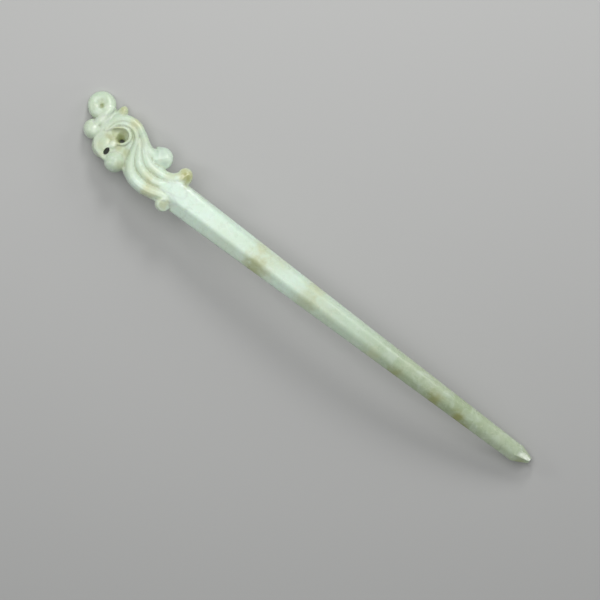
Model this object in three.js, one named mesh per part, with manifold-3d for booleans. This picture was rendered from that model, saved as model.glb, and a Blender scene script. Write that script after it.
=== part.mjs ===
// Bow-shaped hair pin carved from one bar of pale stone. The faceted shank runs along X, its
// point at +X and the carved head at -X; the carved face looks up and the pin stands on the back
// of its head and on its point, like a low bridge. Each mesh is one carved element of the stone,
// parted from its neighbours along a cut groove. Millimetres, +Z up.

import * as THREE from 'three';
import { mergeVertices } from 'three/addons/utils/BufferGeometryUtils.js';
import Module from 'manifold-3d';

// Driving dimensions
const LENGTH = 170;                 // chord from the scroll to the point
const HALF = LENGTH / 2;
const AXIS_Y = -2.98;               // the shank's axis, from the middle of the whole width
const GAP = 0.3;                    // width of a parting groove

// The bow: the head is straight and slopes up, the shank curves over and down
const HEAD_SLOPE = 0.2;
const POINT_SLOPE = 0.302;
const BOW_START = -50;
const GROUND_X = -75;               // left of here the back is ground flat

// The carved face: it leans towards +Y
const FACE = 7.5;                   // head thickness on the shank's axis
const LEAN_ANGLE = THREE.MathUtils.degToRad(14);
const LEAN = Math.tan(LEAN_ANGLE);
const BACK_TOP = 3;                 // thickness of the ground that the relief stands on
const RELIEF_LOW = BACK_TOP + GAP;
const TALL = FACE * 2;              // clear of the top of every head element
const DEEP = -1;                    // clear of the bottom of every head element

// The shank: an eight-sided bar, wide and flat on top
const SHANK_START = -50.4;
const SHANK_END = 80.2;
const SHANK_WIDTH = 9.65;
const POINT_WIDTH = 5.75;
const TAPER_START = -45;
const SHANK_MID = 4;                // height of its axis above the head's back
const FLAT_PART = 0.235;            // half the flat, as a part of the width
const THICK_PART = 0.37;            // half the thickness, as a part of the width
const SIDE_PART = 0.05;             // half the side facet, as a part of the width
const SHANK_STEPS = 26;
const POINT_CUT = 0.3;              // the blunt end's size, as a part of the bar there
const POINT_SIDE = 0.5;             // the end facets meet a little towards +Y

// Raised shapes
const EDGE_ROUND = 0.45;            // how far a raised edge is rounded off
const LOCK_ROUND = 0.25;            // the same on the narrow locks and ridges
const NUB_ROUND = 0.15;             // the same on the small nub
const EDGE_PART = 0.22;             // the part of the height that the rounding takes
const OUTLINE_POINTS = 14;          // points along one side of a lock
const BALL_SIDES = 20;
const BALL_RINGS = 12;
const DISC_SIDES = 28;
const CURVE_POINTS = 10;            // along each curve of an opening
const NUB_LOW = 1.4;                // the nub starts above the back
const UNDER_DEPTH = 40;             // thickness of the block that grinds the underside flat

const wasm = await Module();
wasm.setup();

// Height of the bow's line over the base at a place along the pin
function rise(x) {
  const past = Math.max(x - BOW_START, 0);
  const bend = (HEAD_SLOPE + POINT_SLOPE) / (2 * (HALF - BOW_START));
  return HEAD_SLOPE * (x - GROUND_X) - bend * past * past;
}

function toSolid(geometry) {
  const bare = geometry.index ? geometry.toNonIndexed() : geometry.clone();
  bare.deleteAttribute('normal');
  bare.deleteAttribute('uv');
  const merged = mergeVertices(bare, 1e-4);
  const vertProperties = new Float32Array(merged.attributes.position.array);
  const triVerts = new Uint32Array(merged.index.array);
  return new wasm.Manifold(new wasm.Mesh({ numProp: 3, vertProperties, triVerts }));
}

function toGeometry(solid) {
  const mesh = solid.getMesh();
  const geometry = new THREE.BufferGeometry();
  const places = new THREE.BufferAttribute(new Float32Array(mesh.vertProperties), 3);
  geometry.setAttribute('position', places);
  geometry.setIndex(new THREE.BufferAttribute(new Uint32Array(mesh.triVerts), 1));
  return geometry;
}

// Moves every vertex of a geometry by a rule that takes and returns x, y, z
function reshape(geometry, rule) {
  const places = geometry.attributes.position;
  for (let i = 0; i < places.count; i += 1) {
    const moved = rule(places.getX(i), places.getY(i), places.getZ(i));
    places.setXYZ(i, moved[0], moved[1], moved[2]);
  }
  return geometry;
}

// Lays a head solid, made as if the face were level, onto the leaning face and the bow
function lay(solid) {
  const geometry = reshape(toGeometry(solid), (x, y, z) => {
    const leant = z * (FACE - LEAN * y) / FACE;
    return [x, y + AXIS_Y, leant + rise(x)];
  });
  return toSolid(geometry);
}

// A smooth closed outline through its points
function outline(points) {
  const route = points.map((p) => new THREE.Vector3(p[0], p[1], 0));
  const curve = new THREE.CatmullRomCurve3(route, true, 'centripetal');
  const spaced = curve.getPoints(points.length * 3);
  return new THREE.Shape(spaced.slice(0, -1).map((p) => new THREE.Vector2(p.x, p.y)));
}

// The outline of a lock: each point is x, y and half the lock's width there
function strand(points) {
  const route = points.map((p) => new THREE.Vector3(p[0], p[1], 0));
  const curve = new THREE.CatmullRomCurve3(route, false, 'centripetal');
  const left = [];
  const right = [];
  for (let i = 0; i <= OUTLINE_POINTS; i += 1) {
    const t = i / OUTLINE_POINTS;
    const along = t * (points.length - 1);
    const k = Math.min(Math.floor(along), points.length - 2);
    const half = THREE.MathUtils.lerp(points[k][2], points[k + 1][2], along - k);
    const place = curve.getPoint(t);
    const way = curve.getTangent(t);
    left.push(new THREE.Vector2(place.x - way.y * half, place.y + way.x * half));
    right.push(new THREE.Vector2(place.x + way.y * half, place.y - way.x * half));
  }
  return new THREE.Shape(right.concat(left.reverse()));
}

// A raised shape between two heights with rounded edges
function raised(shape, low, high, edge = EDGE_ROUND) {
  const geometry = new THREE.ExtrudeGeometry(shape, {
    depth: 1 - 2 * EDGE_PART,
    bevelEnabled: true,
    bevelThickness: EDGE_PART,
    bevelSize: edge,
    bevelOffset: -edge,
    bevelSegments: 2,
    curveSegments: CURVE_POINTS,
  });
  return toSolid(reshape(geometry, (x, y, z) => [x, y, low + (z + EDGE_PART) * (high - low)]));
}

// A straight-walled block between two heights, for openings and for clearing a neighbour's room
function block(shape, low, high, grow = 0) {
  const geometry = new THREE.ExtrudeGeometry(shape, {
    depth: high - low,
    bevelEnabled: true,
    bevelThickness: 0,
    bevelSize: 0,
    bevelOffset: grow,
    bevelSegments: 1,
    curveSegments: CURVE_POINTS,
  });
  return toSolid(geometry.translate(0, 0, low));
}

function ball(x, y, z, radius) {
  const geometry = new THREE.SphereGeometry(radius, BALL_SIDES, BALL_RINGS);
  return toSolid(geometry.rotateX(Math.PI / 2).translate(x, y, z));
}

function oval(x, y, across, along, turn) {
  const shape = new THREE.Shape();
  shape.absellipse(x, y, across, along, 0, 2 * Math.PI, false, turn);
  return shape;
}

function turned(x, y, profile) {
  const points = profile.map((p) => new THREE.Vector2(p[0], p[1]));
  const geometry = new THREE.LatheGeometry(points, DISC_SIDES);
  return toSolid(geometry.rotateX(Math.PI / 2).translate(x, y, 0));
}

// Shank: the section is drawn upright, then leant with the face and set on the bow
function shankSection() {
  const shape = new THREE.Shape();
  shape.moveTo(FLAT_PART, THICK_PART);
  shape.lineTo(-FLAT_PART, THICK_PART);
  shape.lineTo(-0.5, SIDE_PART);
  shape.lineTo(-0.5, -SIDE_PART);
  shape.lineTo(-FLAT_PART, -THICK_PART);
  shape.lineTo(FLAT_PART, -THICK_PART);
  shape.lineTo(0.5, -SIDE_PART);
  shape.lineTo(0.5, SIDE_PART);
  return shape;
}

function shankWidth(x) {
  const part = Math.max(x - TAPER_START, 0) / (SHANK_END - TAPER_START);
  return THREE.MathUtils.lerp(SHANK_WIDTH, POINT_WIDTH, part);
}

function bar(from, to, steps, grow, endScale) {
  const geometry = new THREE.ExtrudeGeometry(shankSection(), {
    depth: to - from,
    steps,
    bevelEnabled: false,
  });
  return toSolid(reshape(geometry, (across, up, along) => {
    const part = along / (to - from);
    const shrink = THREE.MathUtils.lerp(1, endScale, part);
    const width = (shankWidth(from + along) + 2 * grow) * shrink;
    const shift = (1 - shrink) * POINT_SIDE;
    const y = width * (across * Math.cos(LEAN_ANGLE) + up * Math.sin(LEAN_ANGLE)) + shift;
    const z = width * (up * Math.cos(LEAN_ANGLE) - across * Math.sin(LEAN_ANGLE));
    return [from + along, y + AXIS_Y, z + SHANK_MID + rise(from + along)];
  }));
}

// Openings through the head, drilled at right angles to the carved face
const EYE_HOLE = oval(-70, 4.4, 1.8, 2.1, -Math.PI / 4);
const CHEEK_SLOT = oval(-71.2, -1.7, 0.67, 1.2, 0);
const openings = [EYE_HOLE, CHEEK_SLOT].map((shape) => block(shape, DEEP, TALL));

// Round elements, full thickness
const SCROLL = { x: -80.6, y: 8.15, radius: 4.25, height: 7.6 };
const LOBE = { x: -78.4, y: 1.1, radius: 3.1, height: 7.4 };
const PEARL = { x: -67.3, y: -2.8, z: 4.5, radius: 3.3 };
const CURL = { x: -56.9, y: 6.4, z: 4.9, radius: 3.5 };
const BEAD = { x: -48.3, y: -4.15, z: 4.2, radius: 2.4 };

function disc(spec, dimple, grow = 0) {
  const r = spec.radius + grow;
  const top = spec.height + grow;
  return turned(spec.x, spec.y, [
    [0, 0],
    [r - 0.5, 0],
    [r, 0.6],
    [r, top - 1.9],
    [r * 0.93, top - 0.9],
    [r * 0.72, top - 0.1],
    [r * 0.5, top],
    [r * 0.25, top - dimple * 0.6],
    [0, top - dimple],
  ]);
}

// The straight room over and under a disc, a little narrower than it
function straightRoom(spec) {
  const r = spec.radius - GAP;
  return block(oval(spec.x, spec.y, r, r, 0), DEEP, TALL);
}

function roundPiece(spec, grow = 0) {
  return ball(spec.x, spec.y, spec.z, spec.radius + grow);
}

// Outlines of the raised elements, x and y from the shank's axis
const HEAD_OUTLINE = outline([
  [-77, 6], [-75.8, 8.8], [-74.2, 10], [-71.2, 10.6], [-68.2, 10.8], [-65.6, 9.9], [-62.3, 7.8],
  [-59, 6.2], [-56, 4.9], [-51.2, 4.4], [-50.8, 0], [-51.2, -4.8], [-54, -5.5], [-57, -5.8],
  [-60, -5.4], [-62.6, -4.5], [-65, -3.6], [-69.6, -4.4], [-73, -4.3], [-75.2, -3.2],
  [-76.8, -1], [-77.2, 3],
]);
const NUB_OUTLINE = outline([
  [-75.9, 9.7], [-75.2, 11.5], [-74.6, 12.35], [-73.8, 11.8], [-72.9, 10.9], [-74.2, 10.2],
]);
const BAND_POINTS = [[-75, 9.2, 0.9], [-75.7, 7, 0.8], [-75.7, 4.6, 0.7], [-75.1, 2.8, 0.6]];
const BROW_POINTS = [
  [-74.4, 4, 0.45], [-73.6, 6, 0.7], [-71.9, 7.5, 0.8], [-69.7, 8, 0.8], [-67.6, 7.5, 0.75],
  [-65.9, 6.2, 0.55],
];
const CREST_POINTS = [
  [-74, 8.2, 0.5], [-72.4, 9.5, 0.8], [-70.4, 9.9, 0.9], [-68.2, 9.8, 1], [-66, 8.8, 1.2],
  [-64, 7.8, 1.2], [-61.5, 6.4, 1.1], [-59, 6.2, 1.3],
];
const UPPER_POINTS = [
  [-63.9, 5.8, 0.45], [-60.8, 4.3, 1], [-57.5, 3.3, 1.35], [-54.5, 3.2, 1.4], [-51.8, 3.9, 1.6],
  [-49.2, 5.3, 2.3], [-48, 7, 1.9], [-48.2, 8.7, 0.7],
];
const MIDDLE_POINTS = [
  [-64.2, 4.7, 0.4], [-62.1, 2.6, 0.9], [-60, 0.9, 1.3], [-57.5, 0, 1.4], [-54.5, 0, 1.45],
  [-51.5, 0.4, 1.5],
];
const LOWER_POINTS = [
  [-65.5, 4.6, 0.5], [-65, 2.6, 0.8], [-63.8, -0.2, 1.1], [-62.2, -2.2, 1.5],
  [-59.8, -3.3, 2.05], [-56.9, -3.85, 2.1], [-53.8, -3.75, 1.9], [-51.2, -3.4, 1.7],
];
const EYE_OUTLINE = outline([
  [-73.2, 2], [-72.8, 4.6], [-71, 6.2], [-69, 6.3], [-67, 4.9], [-66.6, 2.4], [-68, 0.9],
  [-71, 0.5],
]);
const CHEEK_OUTLINE = outline([
  [-76.2, -1.6], [-75.6, -2.7], [-74.3, -3.9], [-72.4, -4.5], [-69.6, -4.6], [-67.6, -2.8],
  [-68.2, -0.2], [-71, -0.1], [-74, 1], [-75.4, 0.4],
]);

// Heights of the raised elements, on the shank's axis
const HIGH = { nub: 6.6, band: 7, brow: 7.5, crest: 7.2, eye: 7.2, cheek: 6.9, lock: 7.5 };

const scroll = disc(SCROLL, 1.6);
const lobe = disc(LOBE, 0.2);
const pearl = roundPiece(PEARL);
const curl = roundPiece(CURL);
const bead = roundPiece(BEAD);
const scrollRoom = disc(SCROLL, 0, GAP).add(straightRoom(SCROLL));
const lobeRoom = disc(LOBE, 0, GAP).add(straightRoom(LOBE));
const pearlRoom = roundPiece(PEARL, GAP);
const curlRoom = roundPiece(CURL, GAP);
const beadRoom = roundPiece(BEAD, GAP);

function lock(points, high) {
  return raised(strand(points), RELIEF_LOW, high, LOCK_ROUND);
}

function room(points) {
  return block(strand(points), RELIEF_LOW - GAP / 2, TALL, GAP);
}

function without(solid, cutters) {
  return cutters.reduce((left, cutter) => left.subtract(cutter), solid);
}

// Head elements, made level; each later one gives way to the ones before it
const crestRoom = room(CREST_POINTS).add(curlRoom);
const browRoom = room(BROW_POINTS);
const upperRoom = room(UPPER_POINTS);
const middleRoom = room(MIDDLE_POINTS);
const lowerRoom = room(LOWER_POINTS);
const bandRoom = room(BAND_POINTS);
const nubRoom = block(NUB_OUTLINE, DEEP, TALL, GAP);

const lobeSolid = without(lobe, [scrollRoom]);
const nub = raised(NUB_OUTLINE, NUB_LOW, HIGH.nub, NUB_ROUND);
const crest = without(lock(CREST_POINTS, HIGH.crest), [nubRoom]).add(curl);
const brow = without(lock(BROW_POINTS, HIGH.brow), [crestRoom]);
const upper = without(lock(UPPER_POINTS, HIGH.lock), [crestRoom, browRoom]);
const middle = without(lock(MIDDLE_POINTS, HIGH.lock), [upperRoom, browRoom]);
const lower = without(lock(LOWER_POINTS, HIGH.lock), [middleRoom, browRoom, upperRoom, pearlRoom]);
const band = without(
  lock(BAND_POINTS, HIGH.band),
  [scrollRoom, lobeRoom, crestRoom, browRoom, nubRoom],
);
const eye = without(
  raised(EYE_OUTLINE, RELIEF_LOW, HIGH.eye),
  [browRoom, lowerRoom, pearlRoom, ...openings],
);
const eyeRoom = block(EYE_OUTLINE, RELIEF_LOW - GAP / 2, TALL, GAP);
const cheek = without(
  raised(CHEEK_OUTLINE, RELIEF_LOW, HIGH.cheek),
  [pearlRoom, lobeRoom, eyeRoom, lowerRoom, bandRoom, browRoom, ...openings],
);
const back = without(
  raised(HEAD_OUTLINE, 0, BACK_TOP),
  [scrollRoom, lobeRoom, pearlRoom, curlRoom, nubRoom, beadRoom, ...openings],
);

// The shank, and what it and its neighbours take from each other
const beadLaid = lay(bead);
const shank = bar(SHANK_START, SHANK_END, SHANK_STEPS, 0, 1).subtract(lay(beadRoom));
const shankRoom = bar(SHANK_START - GAP, 0, SHANK_STEPS / 2, GAP, 1);
const point = bar(SHANK_END + GAP, HALF, 2, 0, POINT_CUT);

// The floor plane grinds the back of the head and the underside of the point flat
const underBlock = new THREE.BoxGeometry(LENGTH * 1.2, LENGTH / 2, UNDER_DEPTH);
const under = toSolid(underBlock.translate(0, 0, -UNDER_DEPTH / 2));

const STONE_PALE = 0xd7ecd8;
const STONE_GREEN = 0xb7c9b0;
const STONE_GREY = 0x9fae92;
const STONE_HONEY = 0xcbb489;

const pin = new THREE.Group();
pin.name = 'hair_pin';

function place(name, solid, colour) {
  const ground = solid.subtract(under);
  const geometry = toGeometry(ground);
  geometry.computeVertexNormals();
  const material = new THREE.MeshStandardMaterial({ color: colour, roughness: 0.25, metalness: 0 });
  const mesh = new THREE.Mesh(geometry, material);
  mesh.name = name;
  pin.add(mesh);
}

place('shank', shank, STONE_GREEN);
place('shank_point', point, STONE_GREY);
place('head_back', lay(back).subtract(shankRoom), STONE_GREEN);
place('top_scroll', lay(scroll), STONE_PALE);
place('side_lobe', lay(lobeSolid), STONE_PALE);
place('crest_nub', lay(nub), STONE_HONEY);
place('crown_band', lay(band), STONE_GREEN);
place('crest_lock', lay(crest), STONE_PALE);
place('brow_ridge', lay(brow), STONE_PALE);
place('eye_ring', lay(eye), STONE_PALE);
place('cheek_plate', lay(cheek), STONE_GREEN);
place('pearl', lay(pearl), STONE_PALE);
place('upper_lock', lay(upper).subtract(shankRoom), STONE_PALE);
place('middle_lock', lay(middle).subtract(shankRoom), STONE_PALE);
place('lower_lock', lay(without(lower, [beadRoom])).subtract(shankRoom), STONE_PALE);
place('belly_bead', beadLaid, STONE_HONEY);

export default pin;
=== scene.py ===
import math

import bpy
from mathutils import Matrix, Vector


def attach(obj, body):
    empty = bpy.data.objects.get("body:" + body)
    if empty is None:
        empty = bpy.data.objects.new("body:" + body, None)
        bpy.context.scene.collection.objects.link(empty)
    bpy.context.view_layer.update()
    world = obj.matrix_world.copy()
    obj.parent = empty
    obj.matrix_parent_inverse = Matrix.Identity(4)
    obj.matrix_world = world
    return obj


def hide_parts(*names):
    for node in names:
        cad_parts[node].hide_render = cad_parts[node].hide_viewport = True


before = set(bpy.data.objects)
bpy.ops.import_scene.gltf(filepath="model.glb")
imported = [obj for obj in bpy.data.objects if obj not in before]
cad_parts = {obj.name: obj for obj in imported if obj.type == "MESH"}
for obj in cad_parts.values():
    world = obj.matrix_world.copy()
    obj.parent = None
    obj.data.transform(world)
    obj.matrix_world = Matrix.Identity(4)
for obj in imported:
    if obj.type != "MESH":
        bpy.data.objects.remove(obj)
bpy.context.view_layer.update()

# ---------------------------------------------------------------------------------------------
# Camera: straight above the pin, looking down the plane of its bow, turned so that the pin
# runs from the upper left, where its head is, to the lower right.
# ---------------------------------------------------------------------------------------------
MM = 0.001
axis_y = -2.98 * MM
camera_turn = math.radians(37.05)
camera_height = 2.4
view_middle = (1.49 * MM, -5.44 * MM)
sensor_width = 36
framed_width = 178.3 * MM
mean_pin_height = 11 * MM

bpy.ops.object.select_all(action="DESELECT")
bpy.ops.object.camera_add(
    location=(*view_middle, camera_height), rotation=(0, 0, camera_turn)
)
camera = bpy.context.object
camera.name = "camera"
camera.data.sensor_width = sensor_width
camera.data.lens = sensor_width * (camera_height - mean_pin_height) / framed_width
camera.data.clip_start = 0.01
camera.data.clip_end = 20
bpy.context.scene.camera = camera
bpy.context.scene.view_settings.view_transform = "Standard"

# ---------------------------------------------------------------------------------------------
# Crest lock: the outermost ridge of the crown. It starts beside the side lobe, runs over the
# crown and ends on the back edge in a big rolled curl, cut to two planes that meet in a ridge.
# All of the head is one stone: its elements are shaped level here, and fused and parted later.
# ---------------------------------------------------------------------------------------------
elements = []


def pick(piece):
    """Makes this piece the only selected one."""
    bpy.ops.object.select_all(action="DESELECT")
    piece.select_set(True)
    bpy.context.view_layer.objects.active = piece


def work(piece, kind, **values):
    """Adds a modifier with these values and applies it."""
    pick(piece)
    modifier = piece.modifiers.new(kind.lower(), kind)
    for name, value in values.items():
        setattr(modifier, name, value)
    bpy.ops.object.modifier_apply(modifier=modifier.name)


def close(piece):
    """Merges doubled points and turns every face outwards."""
    pick(piece)
    bpy.ops.object.mode_set(mode="EDIT")
    bpy.ops.mesh.select_all(action="SELECT")
    bpy.ops.mesh.remove_doubles(threshold=0.002 * MM)
    bpy.ops.mesh.normals_make_consistent(inside=False)
    bpy.ops.object.mode_set(mode="OBJECT")


def twin(piece, name):
    """A copy with its own mesh."""
    pick(piece)
    bpy.ops.object.duplicate()
    copy = bpy.context.object
    copy.name = name
    return copy


def join(pieces):
    """Joins pieces into the first one."""
    bpy.ops.object.select_all(action="DESELECT")
    for piece in pieces:
        piece.select_set(True)
    bpy.context.view_layer.objects.active = pieces[0]
    bpy.ops.object.join()
    return pieces[0]


def strand(name, route, tall=1.3):
    """A lock or ridge: a bar, tall times as high as wide, along (x, y, radius, top) in mm."""
    bpy.ops.object.select_all(action="DESELECT")
    bpy.ops.curve.primitive_bezier_curve_add()
    piece = bpy.context.object
    piece.name = name
    curve = piece.data
    curve.dimensions = "3D"
    curve.bevel_depth = MM
    curve.bevel_resolution = 5
    curve.resolution_u = 8
    curve.use_fill_caps = True
    line = curve.splines[0]
    line.radius_interpolation = "CARDINAL"
    line.bezier_points.add(len(route) - 2)
    for point, (x, y, radius, top) in zip(line.bezier_points, route):
        point.co = (x * MM, y * MM, (top / tall - radius) * MM)
        point.radius = radius
    for point in line.bezier_points:
        point.handle_left_type = "AUTO"
        point.handle_right_type = "AUTO"
    pick(piece)
    bpy.ops.object.convert(target="MESH")
    piece = bpy.context.object
    piece.scale = (1, 1, tall)
    bpy.ops.object.transform_apply(location=True, rotation=True, scale=True)
    close(piece)
    return piece


def ball(name, x, y, top, radius, stretch=(1, 1, 1), turn=0):
    """A round element with its highest point at top, in mm, turned in degrees about Z."""
    bpy.ops.object.select_all(action="DESELECT")
    bpy.ops.mesh.primitive_uv_sphere_add(
        segments=48,
        ring_count=24,
        radius=radius * MM,
        location=(x * MM, y * MM, (top - radius * stretch[2]) * MM),
        rotation=(0, 0, math.radians(turn)),
        scale=stretch,
    )
    piece = bpy.context.object
    piece.name = name
    bpy.ops.object.transform_apply(location=True, rotation=True, scale=True)
    return piece


def plane_off(piece, place, normal):
    """Grinds a flat on a piece: cuts away what lies beyond a plane, in mm."""
    pick(piece)
    bpy.ops.object.mode_set(mode="EDIT")
    bpy.ops.mesh.select_all(action="SELECT")
    bpy.ops.mesh.bisect(
        plane_co=Vector(place) * MM,
        plane_no=Vector(normal).normalized(),
        use_fill=True,
        clear_outer=True,
    )
    bpy.ops.object.mode_set(mode="OBJECT")


def element(shape, nodes_replaced, slot="jade", tall=1.5):
    """Keeps a head element and its room: the same shape, but taller, to part the stone with."""
    room = twin(shape, shape.name + "_room")
    low = min(vertex.co.z for vertex in shape.data.vertices)
    high = max(vertex.co.z for vertex in shape.data.vertices)
    middle = (low + high) / 2
    for vertex in room.data.vertices:
        vertex.co.z = middle + (vertex.co.z - middle) * tall
    elements.append((shape, room, nodes_replaced, slot))


crest_route = [
    (-75.2, 2.7, 0.36, 6.6), (-75.5, 4.6, 0.8, 7.0), (-75.0, 7.0, 1.05, 7.2),
    (-73.4, 9.0, 1.15, 7.4), (-71.1, 9.95, 1.15, 7.5), (-68.3, 10.0, 1.15, 7.5),
    (-65.7, 8.8, 1.2, 7.5), (-62.9, 6.95, 1.3, 7.5), (-60.8, 5.95, 1.5, 7.5),
    (-59.2, 5.9, 2.1, 7.7), (-57.9, 6.6, 2.7, 7.9), (-57.0, 7.2, 2.0, 7.6),
]
crest_stalk = strand("crest_lock", crest_route)
curl = ball("curl", -56.7, 6.35, 8.6, 3.45, (1, 1, 1.2))
curl_ridge = (-56.4, 6.5, 7.9)
plane_off(curl, curl_ridge, (0.44, -0.47, 0.77))
plane_off(curl, curl_ridge, (-0.19, 0.20, 0.96))
element(join([crest_stalk, curl]), ["crest_lock"])

# ---------------------------------------------------------------------------------------------
# Brow ridge and eye ring: two thin arched ridges over the drilled eye, the inner one turning
# down round the hole as its rim.
# ---------------------------------------------------------------------------------------------
brow_route = [
    (-74.7, 2.6, 0.25, 6.4), (-74.6, 4.3, 0.5, 6.9), (-73.9, 6.1, 0.62, 7.2),
    (-72.4, 7.7, 0.68, 7.4), (-69.9, 8.45, 0.7, 7.45), (-67.8, 8.0, 0.7, 7.45),
    (-66.3, 6.8, 0.65, 7.3), (-65.4, 5.2, 0.4, 6.8),
]
element(strand("brow_ridge", brow_route), ["brow_ridge"])

eye_route = [
    (-74.4, 3.4, 0.24, 6.4), (-73.7, 4.7, 0.42, 6.9), (-72.4, 6.0, 0.5, 7.3),
    (-70.5, 6.95, 0.52, 7.5), (-68.8, 6.65, 0.52, 7.5), (-67.85, 5.3, 0.52, 7.5),
    (-67.95, 3.8, 0.52, 7.3), (-68.9, 2.5, 0.5, 7.0), (-70.4, 2.0, 0.36, 6.8),
]
element(strand("eye_ring", eye_route), ["eye_ring"])

# ---------------------------------------------------------------------------------------------
# Lower, middle and upper locks: three hair locks that start at the crown and sweep back side
# by side. The middle one runs out on the shank and the upper one turns up into a short horn.
# ---------------------------------------------------------------------------------------------
upper_route = [
    (-64.7, 7.8, 0.30, 7.0), (-62.9, 6.0, 0.9, 7.5), (-61.1, 4.5, 1.35, 7.6),
    (-59.0, 3.1, 1.65, 7.7), (-56.6, 2.55, 1.72, 7.7), (-54.2, 2.6, 1.7, 7.7),
    (-52.1, 2.9, 1.65, 7.7), (-50.4, 3.6, 1.65, 7.8), (-49.2, 4.7, 1.7, 7.9),
    (-48.5, 6.3, 1.5, 7.5),
]
horn_stalk = strand("upper_lock", upper_route)
horn = ball("horn", -47.9, 5.9, 8.0, 2.5, (0.98, 1.16, 1.2), 12)
horn_ridge = (-47.9, 6.0, 7.7)
plane_off(horn, horn_ridge, (0.62, -0.08, 0.78))
plane_off(horn, horn_ridge, (-0.36, 0.22, 0.91))
element(join([horn_stalk, horn]), ["upper_lock"])

middle_route = [
    (-65.6, 7.1, 0.27, 7.0), (-64.2, 5.3, 0.8, 7.5), (-62.8, 3.1, 1.15, 7.6),
    (-61.1, 1.2, 1.45, 7.7), (-59.0, 0.1, 1.6, 7.7), (-56.6, -0.4, 1.68, 7.7),
    (-53.9, -0.3, 1.8, 7.65), (-51.0, 0.9, 2.4, 7.55), (-47.8, 1.6, 2.7, 7.4),
    (-44.6, 1.6, 2.4, 7.0), (-42.2, 1.4, 1.2, 6.0),
]
element(strand("middle_lock", middle_route), ["middle_lock"])

lower_route = [
    (-67.3, 7.8, 0.30, 6.9), (-65.9, 6.0, 0.75, 7.4), (-64.9, 3.5, 1.0, 7.5),
    (-64.0, 1.0, 1.35, 7.6), (-62.6, -1.3, 1.8, 7.7), (-60.5, -3.0, 2.15, 7.7),
    (-57.8, -3.6, 2.3, 7.7), (-54.5, -3.4, 2.35, 7.6), (-51.6, -2.6, 2.3, 7.5),
    (-48.8, -1.9, 2.0, 7.3), (-46.0, -1.6, 1.4, 6.8), (-44.0, -1.5, 0.6, 6.0),
]
element(strand("lower_lock", lower_route), ["lower_lock"])

# ---------------------------------------------------------------------------------------------
# Belly bead: the rolled end of the lower lock. It stands out at the lower edge, where the head
# meets the shank, and has a flat ground on its upper side.
# ---------------------------------------------------------------------------------------------
belly_bead = ball("belly_bead", -48.35, -4.15, 7.9, 2.45, (1, 1, 1.3))
plane_off(belly_bead, (-48.2, -4.2, 6.7), (0.5, -0.16, 0.85))
element(belly_bead, ["belly_bead"], tall=1.2)

# ---------------------------------------------------------------------------------------------
# Top scroll and crown band: a thick round scroll with a shallow dished face and a drilled
# dimple, and the raised band that runs down its inner side into the side lobe.
# ---------------------------------------------------------------------------------------------
scroll_x = -80.61
scroll_y = 8.27
scroll_radius = 4.32
scroll_top = 7.3
scroll_middle = 3.8
scroll_bottom = 0.2
edge_tightness = 3.2
edge_fullness = 0.42
dish_depth = 1.35
dimple_depth = 2.2
lip_height = 0.7


def dent(x, y, middle, reach_x, reach_y):
    """How much of a soft round dent is felt at a place: 1 in its middle, 0 well past its reach."""
    return math.exp(-(((x - middle[0]) / reach_x) ** 2 + ((y - middle[1]) / reach_y) ** 2))


top_scroll = ball("top_scroll", scroll_x, scroll_y, scroll_middle + scroll_radius, scroll_radius)
for vertex in top_scroll.data.vertices:
    x, y, z = vertex.co / MM
    out = math.hypot(x - scroll_x, y - scroll_y) / scroll_radius
    full = max(1 - out ** edge_tightness, 0) ** edge_fullness
    if z > scroll_middle:
        dish = dish_depth * dent(x, y, (-81.5, 9.0), 1.6, 1.6)
        dimple = dimple_depth * dent(x, y, (-80.5, 8.1), 0.55, 0.55)
        lip = lip_height * dent(x, y, (-81.7, 7.4), 1.2, 0.4)
        z = scroll_middle + (scroll_top - scroll_middle) * full - dish - dimple + lip
    else:
        z = scroll_middle - (scroll_middle - scroll_bottom) * full
    vertex.co = (x * MM, y * MM, z * MM)
element(top_scroll, ["top_scroll"], tall=1.3)

band_route = [
    (-77.2, 10.4, 0.9, 6.7), (-77.8, 9.2, 1.5, 7.3), (-78.1, 7.4, 1.9, 7.6),
    (-78.1, 5.6, 1.9, 7.6), (-78.3, 3.9, 1.6, 7.4), (-78.6, 2.4, 1.0, 7.1),
]
element(strand("crown_band", band_route), ["crown_band"])

# ---------------------------------------------------------------------------------------------
# Side lobe: a plain round lobe under the scroll, where the crown band runs out. It has no flat
# and no groove of its own.
# ---------------------------------------------------------------------------------------------
side_lobe = ball("side_lobe", -78.37, 1.22, 7.2, 3.12, (1, 1, 1.12))
element(side_lobe, ["side_lobe"], tall=1.2)

# ---------------------------------------------------------------------------------------------
# Crest nub: a small blunt horn that stands out from the crown at the far edge, in the honey
# colour of the pebble's rind.
# ---------------------------------------------------------------------------------------------
nub_route = [
    (-74.1, 8.8, 1.9, 6.9), (-74.25, 10.0, 1.75, 7.0), (-74.4, 11.0, 1.45, 7.0),
    (-74.6, 11.8, 1.0, 6.7), (-74.7, 12.3, 0.5, 6.2),
]
element(strand("crest_nub", nub_route, 1.5), ["crest_nub"], slot="jade_skin")

# ---------------------------------------------------------------------------------------------
# Pearl: a ball at the lower edge, between the cheek and the lower lock, carved free of both
# for most of its height.
# ---------------------------------------------------------------------------------------------
pearl = ball("pearl", -67.35, -2.76, 8.0, 3.3, (1, 1, 1.05))
element(pearl, ["pearl"], tall=1.15)

# ---------------------------------------------------------------------------------------------
# Cheek plate: the smooth domed cheek below the eye. It has a small bump under the eye, and the
# slot is drilled through it.
# ---------------------------------------------------------------------------------------------
cheek = ball("cheek_plate", -72.55, -0.5, 6.75, 4.22, (1, 1, 0.8))
bump = ball("bump", -70.85, 1.1, 7.1, 1.7, (0.85, 1.0, 0.8), -6)
bump_stone = twin(bump, "bump_stone")
element(join([cheek, bump]), ["cheek_plate"], tall=1.3)

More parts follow.
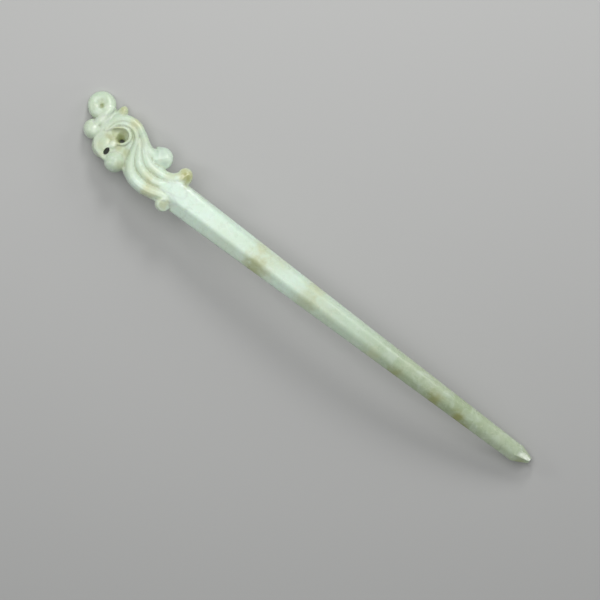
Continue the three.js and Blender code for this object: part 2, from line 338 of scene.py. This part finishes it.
# ---------------------------------------------------------------------------------------------
# Shank and point: an eight-sided bar, ground flat on top with a bevel along each side, that
# tapers to a blunt point. The first stretch is also kept level, to be fused into the head.
# ---------------------------------------------------------------------------------------------
face_height = 7.5
lean = math.radians(14)
face_lean = math.tan(lean)
head_slope = 0.2
point_slope = 0.302
bow_start = -50
half_length = 85
ground_x = -75
shank_mid = 4
corner_count = 8

# Half the top flat, half the thickness and half a side, as parts of the bar's width
flat_part = 0.235
thick_part = 0.37
side_part = 0.05

# The far bevel starts out narrow at the head: there the top flat reaches further to that side
far_widening = 0.13
far_widening_end = -24
far_widening_length = 18


def share(x, start, length):
    """How much of a stretch that begins at start lies before x, from 0 to 1."""
    return min(max((x - start) / length, 0), 1)


def section(x):
    """The eight corners of the bar at x along the pin, as parts of its width."""
    far_part = flat_part + far_widening * share(-x, -far_widening_end, far_widening_length)
    return [
        (far_part, thick_part), (-flat_part, thick_part), (-0.5, side_part), (-0.5, -side_part),
        (-flat_part, -thick_part), (flat_part, -thick_part), (0.5, -side_part), (0.5, side_part),
    ]


def rise(x):
    """Height of the bow's line over the base, at x along the pin, both in millimetres."""
    past = max(x - bow_start, 0)
    bend = (head_slope + point_slope) / (2 * (half_length - bow_start))
    return head_slope * (x - ground_x) - bend * past * past


def lay(piece):
    """Leans a head piece, made as if the face were level, and sets it on the bow."""
    for vertex in piece.data.vertices:
        x, y, z = vertex.co / MM
        z = z * (face_height - face_lean * y) / face_height + rise(x)
        vertex.co = (x * MM, y * MM + axis_y, z * MM)
    piece.data.update()


def unlay(piece):
    """The other way: takes a piece from its place to the level."""
    for vertex in piece.data.vertices:
        x, y, z = vertex.co / MM
        y -= axis_y / MM
        z = (z - rise(x)) * face_height / (face_height - face_lean * y)
        vertex.co = (x * MM, y * MM, z * MM)
    piece.data.update()


thick_end_width = 9.65
taper = 4.2
taper_easing = 0.3
head_softness = 0.23
softness_gain = 0.19


def shank_width(x):
    """Width of the shank at x along the pin, in mm."""
    along = share(x, -45, 125)
    return thick_end_width - taper * along + taper_easing * along ** 2


def edge_softness(x):
    """How far the edges are rubbed round, as a part of each facet: more towards the point."""
    return head_softness + softness_gain * share(x, -40, 65)


def bar(name, stations, softness=edge_softness):
    """An eight-sided bar through (x, part of the full width, sideways shift) stations, in mm."""
    corner_points = 5
    ring = corner_count * corner_points
    bpy.ops.object.select_all(action="DESELECT")
    bpy.ops.mesh.primitive_circle_add(vertices=ring, radius=MM, fill_type="NGON")
    piece = bpy.context.object
    piece.name = name
    bpy.ops.object.mode_set(mode="EDIT")
    bpy.ops.mesh.select_all(action="SELECT")
    for _ in stations[1:]:
        bpy.ops.mesh.extrude_region_move(TRANSFORM_OT_translate={"value": (0, 0, MM)})
    bpy.ops.object.mode_set(mode="OBJECT")
    for vertex in piece.data.vertices:
        x, part, shift = stations[round(vertex.co.z / MM)]
        turn = round(math.atan2(vertex.co.x, vertex.co.y) / math.tau * ring) % ring
        corner, step = divmod(turn, corner_points)
        corners = section(x)
        here = Vector(corners[corner])
        start = here.lerp(Vector(corners[corner - 1]), softness(x))
        end = here.lerp(Vector(corners[(corner + 1) % corner_count]), softness(x))
        t = step / (corner_points - 1)
        across, up = start.lerp(here, t).lerp(here.lerp(end, t), t)
        width = shank_width(x) * part
        y = width * (across * math.cos(lean) + up * math.sin(lean)) + shift
        z = width * (up * math.cos(lean) - across * math.sin(lean)) + shank_mid + rise(x)
        vertex.co = (x * MM, y * MM + axis_y, z * MM)
    close(piece)
    return piece


neck = bar("neck", [(-54, 0.8, 0), (-51, 0.93, 0), (-47, 1, 0), (-44, 1, 0), (-40.5, 1, 0)])
unlay(neck)

# The shank starts a little thinner, where the neck goes over it, and is then full all along
station_step = 1.6
station_count = 75
shank_end = (80.2, 1, 0)
shank_stations = [(-44.5, 0.97, 0), (-43.5, 0.985, 0), (-42, 0.997, 0), (-40.8, 1, 0)]
shank_stations += [(-40 + station_step * i, 1, 0) for i in range(station_count)]
shank_stations += [shank_end]
shank = bar("carved_shank", shank_stations)

# The point is ground afresh, so its edges are sharper than the rubbed ones of the shank
point_softness = 0.08
point_stations = [(79.6, 0.9, 0), shank_end, (80.8, 0.96, 0.1), (85, 0.34, 0.55)]
shank_point = bar("carved_point", point_stations, lambda x: point_softness)

# ---------------------------------------------------------------------------------------------
# Head core: the slab that the head is cut from, sawn flat behind. It is fused with all the
# elements above into one soft-edged stone, and the hollows round the eye, the tilted funnel of
# the eye and the slot are cut into that stone.
# ---------------------------------------------------------------------------------------------
head_voxel = 0.16 * MM
smooth_factor = 0.5


def plate(name, route, low, high, edge):
    """A flat piece with a smooth outline through (x, y) points and rounded edges, in mm."""
    bpy.ops.object.select_all(action="DESELECT")
    bpy.ops.curve.primitive_bezier_curve_add()
    piece = bpy.context.object
    piece.name = name
    curve = piece.data
    curve.dimensions = "2D"
    curve.fill_mode = "BOTH"
    curve.extrude = ((high - low) / 2 - edge) * MM
    curve.bevel_depth = edge * MM
    curve.bevel_resolution = 3
    curve.offset = -edge * MM
    curve.resolution_u = 8
    line = curve.splines[0]
    line.use_cyclic_u = True
    line.bezier_points.add(len(route) - 2)
    for point, (x, y) in zip(line.bezier_points, route):
        point.co = (x * MM, y * MM, 0)
    for point in line.bezier_points:
        point.handle_left_type = "AUTO"
        point.handle_right_type = "AUTO"
    pick(piece)
    bpy.ops.object.convert(target="MESH")
    piece = bpy.context.object
    piece.location = (0, 0, (high + low) / 2 * MM)
    bpy.ops.object.transform_apply(location=True, rotation=True, scale=True)
    close(piece)
    return piece


def drill(name, levels):
    """A round or oval cutter through (x, y, z, half width, half length) levels, in mm."""
    bpy.ops.object.select_all(action="DESELECT")
    bpy.ops.mesh.primitive_circle_add(vertices=40, radius=MM, fill_type="NGON")
    cutter = bpy.context.object
    cutter.name = name
    bpy.ops.object.mode_set(mode="EDIT")
    bpy.ops.mesh.select_all(action="SELECT")
    for _ in levels[1:]:
        bpy.ops.mesh.extrude_region_move(TRANSFORM_OT_translate={"value": (0, 0, MM)})
    bpy.ops.object.mode_set(mode="OBJECT")
    for vertex in cutter.data.vertices:
        x, y, z, across, along = levels[round(vertex.co.z / MM)]
        place = (x + vertex.co.x / MM * across, y + vertex.co.y / MM * along, z)
        vertex.co = Vector(place) * MM
    close(cutter)
    return cutter


core_route = [
    (-78.6, 8.0), (-76.2, 9.3), (-73.0, 10.3), (-70.0, 10.5), (-67.3, 10.5), (-65.3, 9.4),
    (-62.9, 7.9), (-61.1, 6.9), (-58.7, 6.2), (-56.3, 5.3), (-53.9, 4.3), (-51.0, 4.2),
    (-47.4, 3.9), (-46.0, 3.0), (-46.0, -3.0), (-47.0, -3.9), (-49.8, -4.8), (-53.3, -5.4),
    (-56.9, -5.7), (-59.6, -5.5), (-62.0, -4.7), (-64.1, -3.6), (-66.5, -3.9), (-69.4, -4.5),
    (-72.4, -4.3), (-74.5, -3.7), (-76.0, -2.2), (-77.2, 0.2), (-79.2, 3.2), (-79.4, 5.6),
]
head_core = plate("carved_head_back", core_route, 0.3, 6.3, 0.8)

# The saddle fills the dip behind the crown band, and the temple the one behind the eye ring
saddle = ball("saddle", -76.5, 5.3, 7.05, 2.0, (1.0, 2.3, 1.3))
temple = ball("temple", -66.9, 4.0, 6.8, 3.4, (0.5, 1.0, 0.8), 15)
shapes = [twin(shape, shape.name + "_stone") for shape, room, replaced, slot in elements]
head_core = join([head_core, neck, saddle, temple] + shapes)
work(head_core, "REMESH", mode="VOXEL", voxel_size=head_voxel)

# A scoop under the brow, a hollow at each end of it, the eye and the slot
scoop_route = [
    (-74.7, 3.3, 0.3, 7.4), (-73.5, 3.7, 1.1, 8.4), (-72.1, 4.1, 1.75, 9.0),
    (-70.7, 4.4, 1.9, 9.2), (-69.9, 4.4, 1.6, 8.4),
]
scoop = strand("scoop", scoop_route, 1.0)
left_hollow = ball("left_hollow", -73.1, 1.9, 10.5, 2.0, (0.8, 1.3, 1))
right_hollow = ball("right_hollow", -68.2, 1.2, 9.6, 1.6, (1.3, 0.7, 1))
eye_levels = [
    (-69.1, 3.0, -3, 0.6, 0.6), (-69.25, 3.2, 2.5, 0.75, 0.8), (-69.7, 3.8, 4.5, 1.3, 1.35),
    (-70.1, 4.3, 6, 1.8, 1.85), (-70.4, 4.6, 7.2, 2.15, 2.2), (-70.6, 4.8, 9, 2.4, 2.4),
]
eye_drill = drill("eye_drill", eye_levels)
slot_drill = drill("slot_drill", [(-71.2, -1.8, -3, 0.72, 1.22), (-71.2, -1.8, 9, 0.72, 1.22)])
for cutter in (scoop, left_hollow, right_hollow, eye_drill, slot_drill):
    work(head_core, "BOOLEAN", operation="DIFFERENCE", solver="MANIFOLD", object=cutter)
    bpy.data.objects.remove(cutter)

# The bump under the eye is put back whole, and the edges are softened as polishing does
head_core = join([head_core, bump_stone])
work(head_core, "REMESH", mode="VOXEL", voxel_size=head_voxel)
work(head_core, "SMOOTH", factor=smooth_factor, iterations=8)
lay(head_core)

# The back is sawn flat at the base plane
ground_size = 60 * MM
bpy.ops.object.select_all(action="DESELECT")
bpy.ops.mesh.primitive_cube_add(size=ground_size, location=(-ground_size, 0, -ground_size / 2))
ground = bpy.context.object
work(head_core, "BOOLEAN", operation="DIFFERENCE", solver="MANIFOLD", object=ground)
bpy.data.objects.remove(ground)

# Each point's depth in a groove, or height on a ridge, in mm, for the painted shade in the grooves
evened = twin(head_core, "evened")
work(evened, "SMOOTH", factor=smooth_factor, iterations=40)
depth = head_core.data.attributes.new("groove_depth", "FLOAT", "POINT")
for vertex, even, value in zip(head_core.data.vertices, evened.data.vertices, depth.data):
    value.value = (even.co - vertex.co).dot(vertex.normal) / MM
bpy.data.objects.remove(evened)

# ---------------------------------------------------------------------------------------------
# Jade: pale green-white stone with cloudy patches and fine veins, with painted shade darkening its
# grooves. It has stains and painted light and shade in five tints, each a soft spot (x, y, reach,
# strength), in mm from the pin's axis.
# ---------------------------------------------------------------------------------------------
stains_and_painted_shading = {
    "cream": [
        (-70.8, 3.4, 5.2, 0.8), (-68.5, 9.6, 3.2, 0.6), (-64.0, 7.4, 3.0, 0.4),
        (-56.5, 1.2, 4.5, 0.5), (-53.0, -3.6, 4.5, 0.5),
        (-51.5, 3.6, 2.6, 0.6), (-48.0, -4.4, 3.0, 0.6), (-16.4, 0.4, 5.0, 0.3),
        (3.4, 0.6, 7.0, 0.3),
    ],
    # Grey: the first spot paints shade on the curl's far facet, and the third paints shade in the
    # dip beside the crown band; the others darken the curl, the temple, the pearl and the crest
    "grey": [
        (-58.2, 7.9, 2.6, 0.6), (-55.0, 5.6, 1.6, 0.5), (-76.2, 5.6, 1.6, 0.4),
        (-66.8, 3.6, 2.2, 0.5), (-67.0, -3.0, 2.0, 0.3), (-65.4, 8.9, 2.0, 0.5),
        (-62.8, 7.5, 1.8, 0.4),
    ],
    # Pale: painted highlights on the scroll's lip, the crown band, the side lobe and the curl's
    # ridge, and painted light on the rim of the scroll's dimple; the first spot is the cream of
    # the bump under the eye
    "pale": [
        (-70.9, 1.1, 1.4, 0.8), (-81.8, 7.4, 0.9, 0.7), (-78.0, 5.5, 2.2, 0.5),
        (-78.6, 1.6, 2.8, 0.4), (-56.8, 5.6, 1.1, 0.4), (-79.0, 8.8, 1.2, 0.6),
    ],
    "honey": [
        (-74.5, 11.5, 2.0, 0.7), (-47.9, 6.8, 3.6, 0.9), (-69.4, 10.2, 2.4, 0.5),
        (-56.2, -0.8, 2.2, 0.4), (-54.2, -4.2, 3.0, 0.5), (-16.4, 3.6, 3.4, 0.4),
        (-10.0, 3.8, 3.0, 0.25), (3.4, 3.6, 4.2, 0.4), (-72.2, -3.4, 1.8, 0.3),
        (28.0, -3.0, 3.6, 0.35), (-14.0, -2.4, 6.0, 0.35), (-48.0, -4.5, 1.8, 0.25),
        # The last honey spot paints light on the upper wall of the eye's funnel
        (-73.2, -1.2, 3.0, 0.25), (-70.4, 5.4, 1.4, 0.5),
    ],
    # Olive on the head: painted shade in the eye's funnel, in the hollows beside the bump and in
    # the scroll's dimple and dish, and on the sides of the pearl and the horn away from the
    # lights; two more darken the nub's base and the horn's top. On the shank and the point they
    # are stains.
    "olive": [
        (-71.4, 4.4, 3.0, 0.4), (-72.9, 2.0, 1.5, 0.45), (-68.9, 1.1, 1.4, 0.5),
        (-70.0, 3.6, 1.6, 0.7), (-80.6, 8.2, 0.9, 0.9), (-81.3, 8.9, 1.6, 0.3),
        (-74.0, 10.9, 1.6, 0.35), (-65.4, -3.4, 1.8, 0.3), (-48.4, 6.6, 1.4, 0.4),
        (-66.4, 1.0, 1.7, 0.6), (-46.4, 5.8, 2.4, 0.8), (-65.4, -2.4, 1.8, 0.3),
        (-15.4, -3.6, 5.0, 0.55), (3.4, -2.6, 5.0, 0.35), (11.0, -1.8, 6.0, 0.15),
        (37.0, -3.2, 3.4, 0.6), (50.8, -2.0, 3.2, 0.8), (59.6, -2.2, 2.8, 0.9),
        (63.0, -3.6, 2.0, 0.8), (83.0, -2.6, 2.4, 0.7),
    ],
}
tints = {
    "cream": (0.61, 0.66, 0.43, 1),
    "grey": (0.46, 0.57, 0.47, 1),
    "honey": (0.56, 0.56, 0.29, 1),
    "olive": (0.36, 0.38, 0.14, 1),
    "pale": (0.80, 0.86, 0.72, 1),
}


def stone(name, least_rough, most_rough):
    """Polished pale jade, worked out from each point's place on the pin."""
    material = bpy.data.materials.new(name)
    material.use_nodes = True
    nodes = material.node_tree.nodes
    links = material.node_tree.links
    shader = nodes["Principled BSDF"]
    shader.inputs["IOR"].default_value = 1.55
    shader.inputs["Subsurface Weight"].default_value = 0.4
    shader.inputs["Subsurface Radius"].default_value = (0.9, 1.0, 0.75)
    shader.inputs["Subsurface Scale"].default_value = 0.6 * MM
    place = nodes.new("ShaderNodeTexCoord")

    def noise(scale, detail, distortion=0.0):
        node = nodes.new("ShaderNodeTexNoise")
        node.inputs["Scale"].default_value = scale
        node.inputs["Detail"].default_value = detail
        node.inputs["Distortion"].default_value = distortion
        links.new(place.outputs["Object"], node.inputs["Vector"])
        return node.outputs["Fac"]

    def ramp(value, low, high, to_low=0.0, to_high=1.0):
        node = nodes.new("ShaderNodeMapRange")
        node.interpolation_type = "SMOOTHSTEP"
        node.inputs["From Min"].default_value = low
        node.inputs["From Max"].default_value = high
        node.inputs["To Min"].default_value = to_low
        node.inputs["To Max"].default_value = to_high
        links.new(value, node.inputs["Value"])
        return node.outputs["Result"]

    def maths(kind, first, second, third=0.0):
        node = nodes.new("ShaderNodeMath")
        node.operation = kind
        for socket, value in zip(node.inputs, (first, second, third)):
            if isinstance(value, (int, float)):
                socket.default_value = value
            else:
                links.new(value, socket)
        return node.outputs[0]

    def blend(amount, first, second):
        node = nodes.new("ShaderNodeMix")
        node.data_type = "RGBA"
        sockets = (node.inputs[0], node.inputs[6], node.inputs[7])
        for socket, value in zip(sockets, (amount, first, second)):
            if isinstance(value, tuple):
                socket.default_value = value
            else:
                links.new(value, socket)
        return node.outputs[2]

    split = nodes.new("ShaderNodeSeparateXYZ")
    links.new(place.outputs["Object"], split.inputs[0])
    crown = (0.57, 0.70, 0.54, 1)
    fresh = (0.70, 0.86, 0.73, 1)
    far_shank_tone_and_shade = (0.41, 0.50, 0.31, 1)
    tip = (0.52, 0.62, 0.43, 1)
    dull_cloud = (0.62, 0.70, 0.52, 1)
    milky_cloud = (0.78, 0.88, 0.80, 1)
    grain = (0.58, 0.66, 0.50, 1)
    vein_colour = (0.84, 0.84, 0.70, 1)
    groove_shade_colour = (0.42, 0.47, 0.30, 1)
    colour = blend(ramp(split.outputs["X"], -0.066, -0.056), crown, fresh)
    # Darker and yellower towards the point: partly the stone's own tone, partly painted shade for
    # the light falling off along the shank
    colour = blend(ramp(split.outputs["X"], -0.01, 0.055), colour, far_shank_tone_and_shade)
    colour = blend(ramp(split.outputs["X"], 0.052, 0.08), colour, tip)
    colour = blend(ramp(noise(90, 3, 0.6), 0.4, 0.7, 0, 0.45), colour, dull_cloud)
    colour = blend(ramp(noise(260, 4, 0.8), 0.45, 0.7, 0, 0.3), colour, milky_cloud)
    colour = blend(ramp(noise(1100, 3), 0.45, 0.75, 0, 0.25), colour, grain)
    wave = noise(240, 2, 2.5)
    vein = maths("MULTIPLY", ramp(wave, 0.49, 0.505), ramp(wave, 0.505, 0.52, 0.3, 0))
    colour = blend(vein, colour, vein_colour)

    # Each spot's outline wanders, and its strength falls from inside the reach to outside it
    wander = noise(500, 3)
    edge_wander = 1.4
    fade_inside = 0.7
    fade_outside = 0.5
    flat_place = nodes.new("ShaderNodeVectorMath")
    flat_place.operation = "MULTIPLY"
    flat_place.inputs[1].default_value = (1, 1, 0)
    links.new(place.outputs["Object"], flat_place.inputs[0])
    for kind, spots in stains_and_painted_shading.items():
        for x, y, reach, strength in spots:
            far = nodes.new("ShaderNodeVectorMath")
            far.operation = "DISTANCE"
            far.inputs[1].default_value = (x * MM, y * MM + axis_y, 0)
            links.new(flat_place.outputs["Vector"], far.inputs[0])
            edge = maths("MULTIPLY_ADD", wander, -edge_wander * reach * MM, far.outputs["Value"])
            full_at = -fade_inside * reach * MM
            gone_at = fade_outside * reach * MM
            spread = ramp(edge, full_at, gone_at, strength, 0)
            colour = blend(spread, colour, tints[kind])
    groove = nodes.new("ShaderNodeAttribute")
    groove.attribute_name = "groove_depth"
    # Painted shade: the stone is darkened in its grooves, the more the deeper they are
    colour = blend(ramp(groove.outputs["Fac"], 0, 0.1, 0, 0.7), colour, groove_shade_colour)
    links.new(colour, shader.inputs["Base Color"])
    bump = nodes.new("ShaderNodeBump")
    bump.inputs["Strength"].default_value = 0.1
    bump.inputs["Distance"].default_value = 0.04 * MM
    links.new(noise(900, 3), bump.inputs["Height"])
    links.new(bump.outputs["Normal"], shader.inputs["Normal"])
    rough = ramp(noise(400, 3), 0.3, 0.7, least_rough, most_rough)
    links.new(rough, shader.inputs["Roughness"])
    return material


jade = stone("pale_jade", 0.24, 0.38)
polished_jade = stone("polished_jade", 0.12, 0.2)

# ---------------------------------------------------------------------------------------------
# Parting: the head's stone is divided along its grooves by the elements' rooms, so that all its
# surfaces run on unbroken, and what is left is the back. Each piece replaces its CAD node.
# ---------------------------------------------------------------------------------------------
crease_angle = math.radians(38)
room_voxel = 0.2 * MM


def set_stone(piece, nodes_replaced, material=jade):
    """Gives a finished piece its stone and puts it in place of its CAD nodes."""
    piece.data.materials.clear()
    piece.data.materials.append(material)
    pick(piece)
    bpy.ops.object.shade_smooth_by_angle(angle=crease_angle)
    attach(piece, "root")
    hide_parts(*nodes_replaced)


for shape, room, nodes_replaced, slot in elements:
    bpy.data.objects.remove(shape)
    work(room, "REMESH", mode="VOXEL", voxel_size=room_voxel)
    lay(room)
    piece = twin(head_core, "carved_" + nodes_replaced[0])
    work(piece, "BOOLEAN", operation="INTERSECT", solver="MANIFOLD", object=room)
    work(head_core, "BOOLEAN", operation="DIFFERENCE", solver="MANIFOLD", object=room)
    bpy.data.objects.remove(room)
    set_stone(piece, nodes_replaced)

set_stone(head_core, ["head_back"])
set_stone(shank, ["shank"])
set_stone(shank_point, ["shank_point"], polished_jade)

# ---------------------------------------------------------------------------------------------
# Floor and lights: a plain pale floor and sky, a large soft light over the head, and two small
# windows, beyond the head and to its left. A low light draws a streak along the shank's far
# bevel, and the last one gives the point its glint.
# ---------------------------------------------------------------------------------------------
bpy.ops.object.select_all(action="DESELECT")
bpy.ops.mesh.primitive_plane_add(size=4)
floor = bpy.context.object
floor.name = "floor"
pale = bpy.data.materials.new("pale_floor")
pale.use_nodes = True
pale.node_tree.nodes["Principled BSDF"].inputs["Base Color"].default_value = (0.5, 0.5, 0.49, 1)
pale.node_tree.nodes["Principled BSDF"].inputs["Roughness"].default_value = 0.9
floor.data.materials.append(pale)

world = bpy.data.worlds.new("studio")
bpy.context.scene.world = world
world.use_nodes = True
world.node_tree.nodes["Background"].inputs["Color"].default_value = (0.95, 0.98, 1, 1)
world.node_tree.nodes["Background"].inputs["Strength"].default_value = 0.2


def softbox(name, place, aim, size, power):
    """A round area light at place, turned to aim, in metres, with its power in watts."""
    bpy.ops.object.select_all(action="DESELECT")
    bpy.ops.object.light_add(type="AREA", location=place)
    light = bpy.context.object
    light.name = name
    light.data.shape = "DISK"
    light.data.size = size
    light.data.energy = power
    light.rotation_euler = (Vector(aim) - Vector(place)).to_track_quat("-Z", "Y").to_euler()


softbox("overhead", (-0.10, 0.03, 0.36), (-0.04, 0, 0), 0.34, 0.66)
softbox("far_window", (-0.20, 0.30, 0.26), (-0.04, 0, 0), 0.12, 0.52)
softbox("left_window", (-0.43, -0.08, 0.21), (-0.06, 0, 0), 0.09, 0.26)
softbox("far_streak", (0.09, 0.30, 0.17), (0.03, 0, 0), 0.16, 0.2)
softbox("glint", (0.383, 0.12, 0.145), (0.083, 0, 0.01), 0.08, 0.14)

# Brings the scene up to date
bpy.context.view_layer.update()
